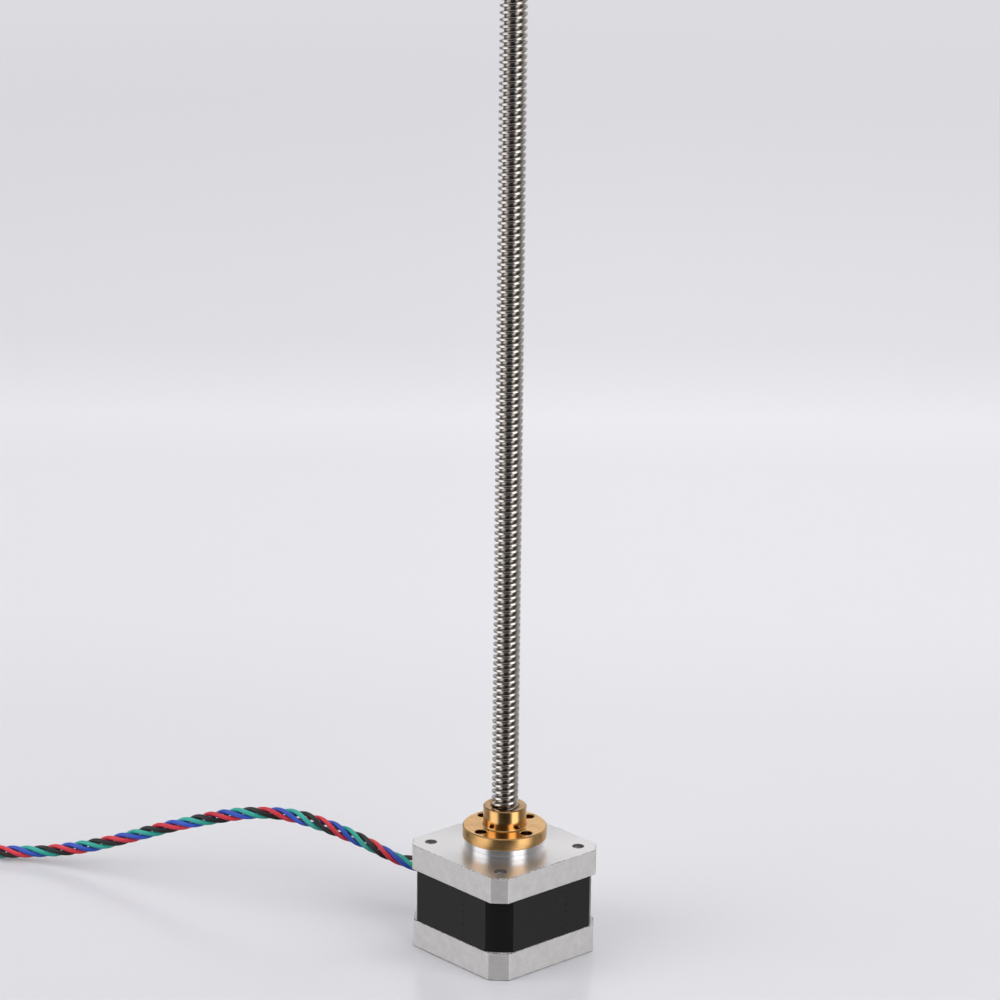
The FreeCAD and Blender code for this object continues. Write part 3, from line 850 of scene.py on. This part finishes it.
def make_rear_cap():
    cap = cap_block("rear_cap_body", rear_low.z, REAR_TOP, REAR_CHAMFER, 0.45, MATERIALS["cast_aluminium"])
    floor, wall_top = 2.6, 7.8
    inside = [
        (0, -1), (4.5, -1), (4.2, 0.3), (4.2, floor), (BEARING_RADIUS, floor), (BEARING_RADIUS, wall_top),
        (10, wall_top), (10, floor), (CAVITY_RADIUS, floor), (CAVITY_RADIUS, REAR_TOP + 1), (0, REAR_TOP + 1),
    ]
    bore, depth = COUNTERBORE_RADIUS, COUNTERBORE_DEPTH
    counterbore = [(0, -1), (bore + 1.2, -1), (bore, 0.2), (bore, depth), (0, depth)]
    cutters = [cutter(inside)]
    for place in HOLE_PLACES:
        cutters.append(cutter(hole_profile(SCREW_CLEARANCE_RADIUS, 0, REAR_TOP), place, 48))
        cutters.append(cutter(counterbore, place, 64))
    slot = rounded(rectangle(-FRAME_HALF - 1, -4.1, -CAVITY_RADIUS + 2, 4.1), 0.4, 3)
    cutters.append(prism("cutter", slot, 3.5, REAR_TOP + 1))
    carve(cap, cutters)
    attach(cap, "motor")
    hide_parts("rear_cap")


def stator_outline(steps=24):
    """Square whose corners are cut to a circle."""
    reach = math.sqrt(STATOR_ROUND_RADIUS ** 2 - FRAME_HALF ** 2)
    first = math.atan2(reach, FRAME_HALF)
    points, radii = [], []
    for quarter in range(4):
        for k in range(steps + 1):
            turn = quarter * math.pi / 2 + first + (math.pi / 2 - 2 * first) * k / steps
            points.append((STATOR_ROUND_RADIUS * math.cos(turn), STATOR_ROUND_RADIUS * math.sin(turn)))
            radii.append(0.25 if k in (0, steps) else 0)
    return rounded(points, radii, 3)


def pole_outline():
    """Inner outline of the laminations: slots between the poles, and small teeth on the pole tips."""
    def polar(radius, degrees):
        return (radius * math.cos(math.radians(degrees)), radius * math.sin(math.radians(degrees)))

    points = []
    pole_step = 360 / POLE_COUNT
    tooth_step = 360 / ROTOR_TEETH
    tip_half = pole_step / 2 - math.degrees(SLOT_OPENING / 2 / STATOR_BORE)
    neck_at_tip = math.degrees(math.asin(POLE_NECK / 2 / POLE_TIP_RADIUS))
    neck_at_back = math.degrees(math.asin(POLE_NECK / 2 / SLOT_RADIUS))
    for pole in range(POLE_COUNT):
        middle = pole * pole_step
        points.append(polar(POLE_TIP_RADIUS, middle - neck_at_tip))
        points.append(polar(POLE_TIP_RADIUS - 0.5, middle - tip_half))
        points.append(polar(STATOR_BORE, middle - tip_half))
        for tooth in range(TEETH_PER_POLE - 1):
            gap = middle + (tooth - (TEETH_PER_POLE - 2) / 2) * tooth_step
            for depth, offset in ((0, -0.25), (TOOTH_DEPTH, -0.25), (TOOTH_DEPTH, 0.25), (0, 0.25)):
                points.append(polar(STATOR_BORE + depth, gap + offset * tooth_step))
        points.append(polar(STATOR_BORE, middle + tip_half))
        points.append(polar(POLE_TIP_RADIUS - 0.5, middle + tip_half))
        points.append(polar(POLE_TIP_RADIUS, middle + neck_at_tip))
        for k in range(7):
            points.append(polar(SLOT_RADIUS, middle + neck_at_back + k * (pole_step - 2 * neck_at_back) / 6))
    return points


def weld_marks():
    """Shallow marks in a column on each flat side, where the sheets are fixed to each other."""
    vertices, faces = [], []
    outline, depth = rectangle(-0.45, -0.14, 0.45, 0.14), 0.12
    for quarter in range(4):
        turn = Matrix.Rotation(quarter * math.pi / 2, 3, "Z")
        for row in range(MARK_ROWS):
            z = MARK_FIRST_Z + row * MARK_STEP
            base = len(vertices)
            for dy in (-1, depth):
                for dx, dz in outline:
                    vertices.append(turn @ Vector((MARK_OFFSET + dx, -FRAME_HALF + dy, z + dz)))
            faces += [tuple(base + k for k in quad) for quad in (
                (0, 1, 2, 3), (7, 6, 5, 4), (0, 4, 5, 1), (1, 5, 6, 2), (2, 6, 7, 3), (3, 7, 4, 0))]
    return outward(finish_mesh("cutter", vertices, faces, None))


def make_stator():
    low, high = stator_low.z, stator_high.z
    body = prism("stator_laminations", stator_outline(), low, high, MATERIALS["black_lamination"])
    cutters = [prism("cutter", pole_outline(), low - 1, high + 1)]
    for place in HOLE_PLACES:
        cutters.append(cutter(hole_profile(SCREW_CLEARANCE_RADIUS, low, high), place, 48))
    cutters.append(weld_marks())
    carve(body, cutters)
    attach(body, "motor")
    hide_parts("stator_core")


def make_housing_screws():
    """Four screws in the rear cap, with hexagon sockets."""
    head_low, head_high, head_radius, radius = 0.3, COUNTERBORE_DEPTH, SCREW_HEAD_RADIUS, SCREW_RADIUS
    top = FACE - 4.8
    for number, place in enumerate(HOLE_PLACES):
        profile = [(0, head_low), (head_radius, head_low), (head_radius, head_high), (radius, head_high),
                   (radius, top - 0.4), (radius - 0.4, top), (0, top)]
        radii = [0, 0.3, 0.1, 0.1, 0.1, 0.1, 0]
        screw = lathe("housing_screw_%d" % (number + 1), rounded(profile, radii, 4, closed=False),
                      MATERIALS["fastener_steel"], 64, place)
        hexagon = [(place[0] + 1.15 * math.cos(k * math.pi / 3), place[1] + 1.15 * math.sin(k * math.pi / 3))
                   for k in range(6)]
        carve(screw, [prism("cutter", hexagon, -1, 1.5)])
        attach(screw, "motor")
        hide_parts("housing_screws")


# ------------------------------ lead screw and nut

def thread_outline(ridge_radius, groove_radius, ridge_width, ridge_round, groove_round):
    """One pitch of a thread from the middle of a ridge to the next, as (radius, height)."""
    half = ridge_width / 2
    flank = FLANK * (ridge_radius - groove_radius)
    corners = [(ridge_radius, 0), (ridge_radius, half), (groove_radius, half + flank),
               (groove_radius, PITCH - half - flank), (ridge_radius, PITCH - half), (ridge_radius, PITCH)]
    radii = [0, ridge_round, groove_round, groove_round, ridge_round, 0]
    return rounded(corners, radii, 4, closed=False)[:-1]


def threaded_rod(name, outline, low, high, material=None, segments=40, limit=None, dimple=0.0):
    """Closed rod with a right-hand thread, cut off flat. limit gives the largest radius at a height."""
    outline = [(radius, height + start * PITCH) for start in range(STARTS) for radius, height in outline]
    first_turn = math.floor((low - THREAD_START) / LEAD) - 2
    count = (math.ceil((high - low) / LEAD) + 5) * segments
    per_step = len(outline)
    steps = np.arange(count + 1)
    turns = 2 * np.pi * steps / segments
    rises = THREAD_START + (first_turn + steps / segments) * LEAD
    radii = np.tile([p[0] for p in outline], (count + 1, 1))
    heights = rises[:, None] + np.array([p[1] for p in outline])[None]
    if limit:
        radii = np.minimum(radii, limit(heights))
    vertices = np.stack([radii * np.cos(turns)[:, None], radii * np.sin(turns)[:, None], heights], axis=2)
    faces = []
    for step in range(count):
        for k in range(per_step):
            here, there = step * per_step + k, (step + 1) * per_step + k
            if k + 1 < per_step:
                faces.append((here, there, there + 1, here + 1))
            elif step + 1 + segments <= count:
                across = segments * per_step + 1 - per_step
                faces.append((here, there, there + across, here + across))
    rod = finish_mesh(name, vertices.reshape(-1, 3), faces, material, 40)
    work = bmesh.new()
    work.from_mesh(rod.data)
    for z, direction in ((low, -1), (high, 1)):
        bmesh.ops.bisect_plane(work, geom=work.verts[:] + work.edges[:] + work.faces[:], dist=1e-9,
                               plane_co=(0, 0, z * MM), plane_no=(0, 0, direction), clear_outer=True)
        close_end(work, z, direction, dimple)
    bmesh.ops.recalc_face_normals(work, faces=work.faces)
    work.to_mesh(rod.data)
    work.free()
    shade(rod, 40, False)
    return rod


def close_end(work, z, direction, dimple):
    """Closes a flat cut with a fan of faces, around a conical centre hole if dimple gives its radius."""
    rim = [e for e in work.edges if e.is_boundary and all(abs(v.co.z - z * MM) < 1e-7 for v in e.verts)]
    depth = 0.8 * dimple
    centre = work.verts.new((0, 0, (z - direction * depth) * MM))
    inner = {}
    for edge in rim:
        for vertex in edge.verts:
            if dimple and vertex not in inner:
                across = Vector((vertex.co.x, vertex.co.y, 0)).normalized() * (dimple * MM)
                inner[vertex] = work.verts.new((across.x, across.y, z * MM))
    for edge in rim:
        one, other = edge.verts
        if dimple:
            work.faces.new((one, other, inner[other], inner[one]))
            work.faces.new((inner[one], inner[other], centre))
        else:
            work.faces.new((one, other, centre))


def make_lead_screw():
    top = screw_high.z
    outline = thread_outline(THREAD_RADIUS, THREAD_ROOT, CREST, 0.2, 0.08)
    rod = threaded_rod(
        "lead_screw_thread", outline, THREAD_START, top, MATERIALS["screw_steel"], 40,
        lambda z: np.minimum(top - z + THREAD_RADIUS - 1.0, 3.5 + np.maximum(z - THREAD_START, 0)), 0.9)
    bottom, journal, shoulder = screw_low.z, 2.5, 3.4
    profile = [(0, bottom + 0.7), (0.9, bottom), (journal, bottom), (journal, BEARING_TOP),
               (shoulder, BEARING_TOP), (shoulder, THREAD_START), (0, THREAD_START)]
    radii = [0, 0.05, 0.3, 0.1, 0.15, 0.1, 0]
    profile = rounded(profile, radii, 3, closed=False)
    shaft = lathe("lead_screw_journal", profile, MATERIALS["spacer_steel"], 64)
    for piece in (rod, shaft):
        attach(piece, "rotor")
        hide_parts("lead_screw")


def make_nut():
    low, top = nut_low.z, nut_high.z
    flange_top = low + NUT_FLANGE_HEIGHT
    flange, barrel, edge = NUT_FLANGE_RADIUS, NUT_BARREL_RADIUS, 0.3
    profile = [
        (0, low), (flange - edge, low), (flange, low + edge), (flange, flange_top - edge),
        (flange - edge, flange_top), (barrel, flange_top), (barrel, top - edge), (barrel - edge, top),
        (0, top)]
    radii = [0, 0.1, 0.1, 0.1, 0.1, 0.45, 0.1, 0.1, 0]
    nut = lathe("lead_nut_body", rounded(profile, radii, 5, closed=False), MATERIALS["nut_brass"], 144)
    widening = FLANK * (NUT_GROOVE_RADIUS - THREAD_RADIUS)
    groove = CREST - 2 * widening + 2 * NUT_SIDE_CLEARANCE
    outline = thread_outline(NUT_GROOVE_RADIUS, NUT_RIDGE_RADIUS, groove, 0.08, 0.08)
    cutters = [threaded_rod("cutter", outline, low - 0.8, top + 1)]
    mouth = NUT_GROOVE_RADIUS + 0.15
    depth = mouth - NUT_RIDGE_RADIUS
    for end, inward in ((low, 1), (top, -1)):
        cutters.append(cutter([(0, end - inward), (mouth + 1, end - inward),
                               (NUT_RIDGE_RADIUS, end + inward * depth), (0, end + inward * depth)]))
    for k in range(4):
        turn = k * math.pi / 2
        place = (NUT_HOLE_CIRCLE * math.cos(turn), NUT_HOLE_CIRCLE * math.sin(turn))
        cutters.append(cutter(hole_profile(NUT_HOLE_RADIUS, low, flange_top, 0.15, 0.15), place, 48))
    carve(nut, cutters)
    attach(nut, "nut")
    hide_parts("lead_nut")


# ------------------------------ small parts

def make_grommet():
    low, high = box_mm("cable_grommet")
    outline = rounded(rectangle(*low.xy, *high.xy), 0.6, 5)
    centre = np.array((low + high).xy) / 2
    half = np.array((high - low).xy) / 2
    edge = 0.35
    levels = []
    for inset, z in ((edge, low.z), (0.1, low.z + 0.1), (0, low.z + edge), (0, high.z - edge),
                     (0.1, high.z - 0.1), (edge, high.z)):
        levels.append(at_height([centre + (p - centre) * (1 - inset / half) for p in outline], z))
    grommet = stack("cable_grommet_body", levels, MATERIALS["black_rubber"])
    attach(grommet, "motor")
    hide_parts("cable_grommet")


def soften_frame_nodes():
    """Small rounded edges on the plain parts that are kept from the frame."""
    for node, width in (("cable_tie", 0.12), ("cable_connector", 0.12), ("terminal_board", 0.08)):
        piece = frame["nodes"][node]
        bevel = piece.modifiers.new("edges", "BEVEL")
        bevel.width = width * MM
        bevel.segments = 3
        bevel.limit_method = "ANGLE"
        bevel.angle_limit = math.radians(40)
        bevel.harden_normals = False


# ------------------------------ floor, light and sky

BACKDROP_TONE = (0.715, 0.71, 0.75)
# Tones of the floor, painted light and shade in bands, from 0.3 m before the object to 1.8 m behind it, seen
# from the camera
FLOOR_PAINTED_LIGHT_BANDS = [
    (0.0, 0.72), (0.12, 0.585), (0.24, 0.64), (0.29, 0.695), (0.39, 0.745), (0.425, 0.80), (0.46, 0.77),
    (0.49, 0.75), (0.58, 0.80), (0.71, 0.845), (0.86, 0.86), (1.0, 0.84)]


def floor_material():
    """White board with soft bands of painted light and shade from front to back, which takes the backdrop's
    own tone far away.
    """
    graph = Graph("floor_board", Roughness=0.22)
    turn = math.radians(CAMERA_AZIMUTH)
    x, y, _ = graph.position()
    along_x = graph.math("MULTIPLY", x, -math.sin(turn))
    along_y = graph.math("MULTIPLY", y, math.cos(turn))
    away = graph.math("ADD", along_x, along_y)
    # painted light and shade: the floor's colour follows bands of brightness from front to back
    ramp = graph.add("ValToRGB", {"Fac": graph.spread(away, -0.3, 1.8)})
    fill_ramp(ramp, FLOOR_PAINTED_LIGHT_BANDS, (1, 0.995, 1.055))
    graph.done(Base_Color=ramp.outputs["Color"])
    glow = graph.add("Emission", {"Color": BACKDROP_TONE})
    blend = graph.add("MixShader", {"Fac": graph.spread(graph.radius(), 0.6, 1.7)})
    graph.put(blend, 1, graph.shader.outputs["BSDF"])
    graph.put(blend, 2, glow.outputs["Emission"])
    graph.put(graph.tree.nodes["Material Output"], "Surface", blend.outputs["Shader"])
    return graph.material


def fill_ramp(node, stops, tint=(1, 1, 1)):
    """Sets a colour ramp to these (position, tone) stops."""
    elements = node.color_ramp.elements
    elements[0].position, elements[1].position = stops[0][0], stops[-1][0]
    for place, _ in stops[1:-1]:
        elements.new(place)
    for element, (_, tone) in zip(sorted(elements, key=lambda e: e.position), stops):
        element.color = (tone * tint[0], tone * tint[1], tone * tint[2], 1)


def make_floor():
    """Round board under the object, larger than any of the views."""
    radius, segments = 9.0, 96
    vertices = [(0, 0, -0.02)]
    faces = []
    for k in range(segments):
        turn = 2 * math.pi * k / segments
        vertices.append((radius / MM * math.cos(turn), radius / MM * math.sin(turn), -0.02))
        faces.append((0, k + 1, (k + 1) % segments + 1))
    floor = finish_mesh("floor", vertices, faces, floor_material(), 35, False)
    floor.visible_glossy = False


def make_backdrop():
    """Pale dome behind everything. Only the camera sees it; the metal reflects the studio of make_sky."""
    radius, rings = 8.9 / MM, 12
    profile = [(radius * math.cos(k * math.pi / 2 / rings), radius * math.sin(k * math.pi / 2 / rings) - 0.02)
               for k in range(rings)]
    material = bpy.data.materials.new("backdrop_paper")
    material.use_nodes = True
    paper = Nodes(material.node_tree)
    paper.tree.nodes.remove(paper.tree.nodes["Principled BSDF"])
    glow = paper.add("Emission", {"Color": BACKDROP_TONE})
    paper.put(paper.tree.nodes["Material Output"], "Surface", glow.outputs["Emission"])
    dome = lathe("backdrop", profile + [(0, radius)], material, 96, closed=False)
    for setting in ("visible_diffuse", "visible_glossy", "visible_transmission", "visible_shadow"):
        setattr(dome, setting, False)


def make_panel(name, azimuth, elevation, distance, size, power, colour=(1, 1, 1)):
    data = bpy.data.lights.new(name, "AREA")
    data.shape = "RECTANGLE"
    data.size, data.size_y = size
    data.energy = power
    data.color = colour
    light = bpy.data.objects.new(name, data)
    aim = Vector((0, 0, 0.06))
    light.location = aim + around(azimuth, elevation, distance)
    light.rotation_mode = "QUATERNION"
    light.rotation_quaternion = (aim - light.location).to_track_quat("-Z", "Y")
    light.visible_camera = False
    light.visible_glossy = False
    bpy.context.scene.collection.objects.link(light)


STUDIO_STRENGTH = 2.8
# Tones of the studio by azimuth from the camera's side, in degrees to the right
STUDIO_ROUND = [
    (-180, 0.34), (-132, 0.20), (-110, 0.12), (-92, 0.10), (-82, 0.42), (-75, 0.56), (-45, 0.56),
    (-37, 0.28), (-29, 0.04), (0, 0.015), (26, 0.03), (36, 0.22), (43, 0.74), (68, 0.74), (77, 0.30),
    (86, 0.09), (108, 0.11), (132, 0.19), (180, 0.34)]
STUDIO_TINT = (1, 0.985, 0.98)
# How much of that tone is left at each height, from 0 straight down to 1 straight up
STUDIO_HEIGHTS = [(0.30, 0.83), (0.37, 0.80), (0.42, 0.66), (0.5, 0.45), (0.56, 0.62), (0.62, 1.0)]
STUDIO_LEAN = 0.2


def make_sky():
    """A studio of tones around the object: a softbox on each side of a dark front, and a pale back.

    The softboxes lean a little, so they stand further to the left the higher they reach."""
    world = bpy.data.worlds.new("studio")
    bpy.context.scene.world = world
    world.use_nodes = True
    sky = Nodes(world.node_tree)
    direction = sky.add("TexCoord").outputs["Generated"]
    turned = sky.add("Mapping", {"Vector": direction, "Rotation": (0, 0, math.radians(90 - CAMERA_AZIMUTH))})
    sweep = sky.add("TexGradient", {"Vector": turned.outputs[0]}, gradient_type="RADIAL").outputs["Fac"]
    height = sky.add("SeparateXYZ", {"Vector": direction}).outputs[2]
    leaned = sky.math("ADD", sweep, sky.spread(height, -0.34, -0.14, 0.0, 0.2 * STUDIO_LEAN))
    tones = sky.add("ValToRGB", {"Fac": leaned})
    fill_ramp(tones, [(0.5 + azimuth / 360, tone) for azimuth, tone in STUDIO_ROUND], STUDIO_TINT)
    bands = sky.add("ValToRGB", {"Fac": sky.spread(height, -1, 1)})
    fill_ramp(bands, STUDIO_HEIGHTS)
    banded = sky.add("Mix", {0: 1.0, 6: tones.outputs["Color"], 7: bands.outputs["Color"]},
                     data_type="RGBA", blend_type="MULTIPLY").outputs[2]
    steep = sky.eased(sky.math("ABSOLUTE", height), 0.48, 0.64)
    overhead = sky.eased(height, 0.66, 0.82, 0.08, 0.18)
    background = sky.tree.nodes["Background"]
    sky.put(background, "Color", sky.mix(steep, banded, overhead))
    sky.put(background, "Strength", STUDIO_STRENGTH)


def make_lights():
    make_panel("left_panel", -66, 34, 1.3, (1.2, 1.0), 7.7)
    make_panel("right_panel", 50, 34, 1.3, (1.1, 1.0), 9.6)
    make_panel("top_panel", 180, 75, 1.6, (1.6, 1.2), 9.6)


# ------------------------------ whole scene

bpy.context.scene.view_settings.view_transform = "Standard"
make_materials()
paint_frame_nodes()
soften_frame_nodes()
make_grommet()
make_cable([MATERIALS[name] for name in ("lead_red", "lead_blue", "lead_green", "lead_black")])
make_front_cap()
make_rear_cap()
make_stator()
make_housing_screws()
make_lead_screw()
make_nut()
make_floor()
make_backdrop()
make_sky()
make_lights()
make_camera()
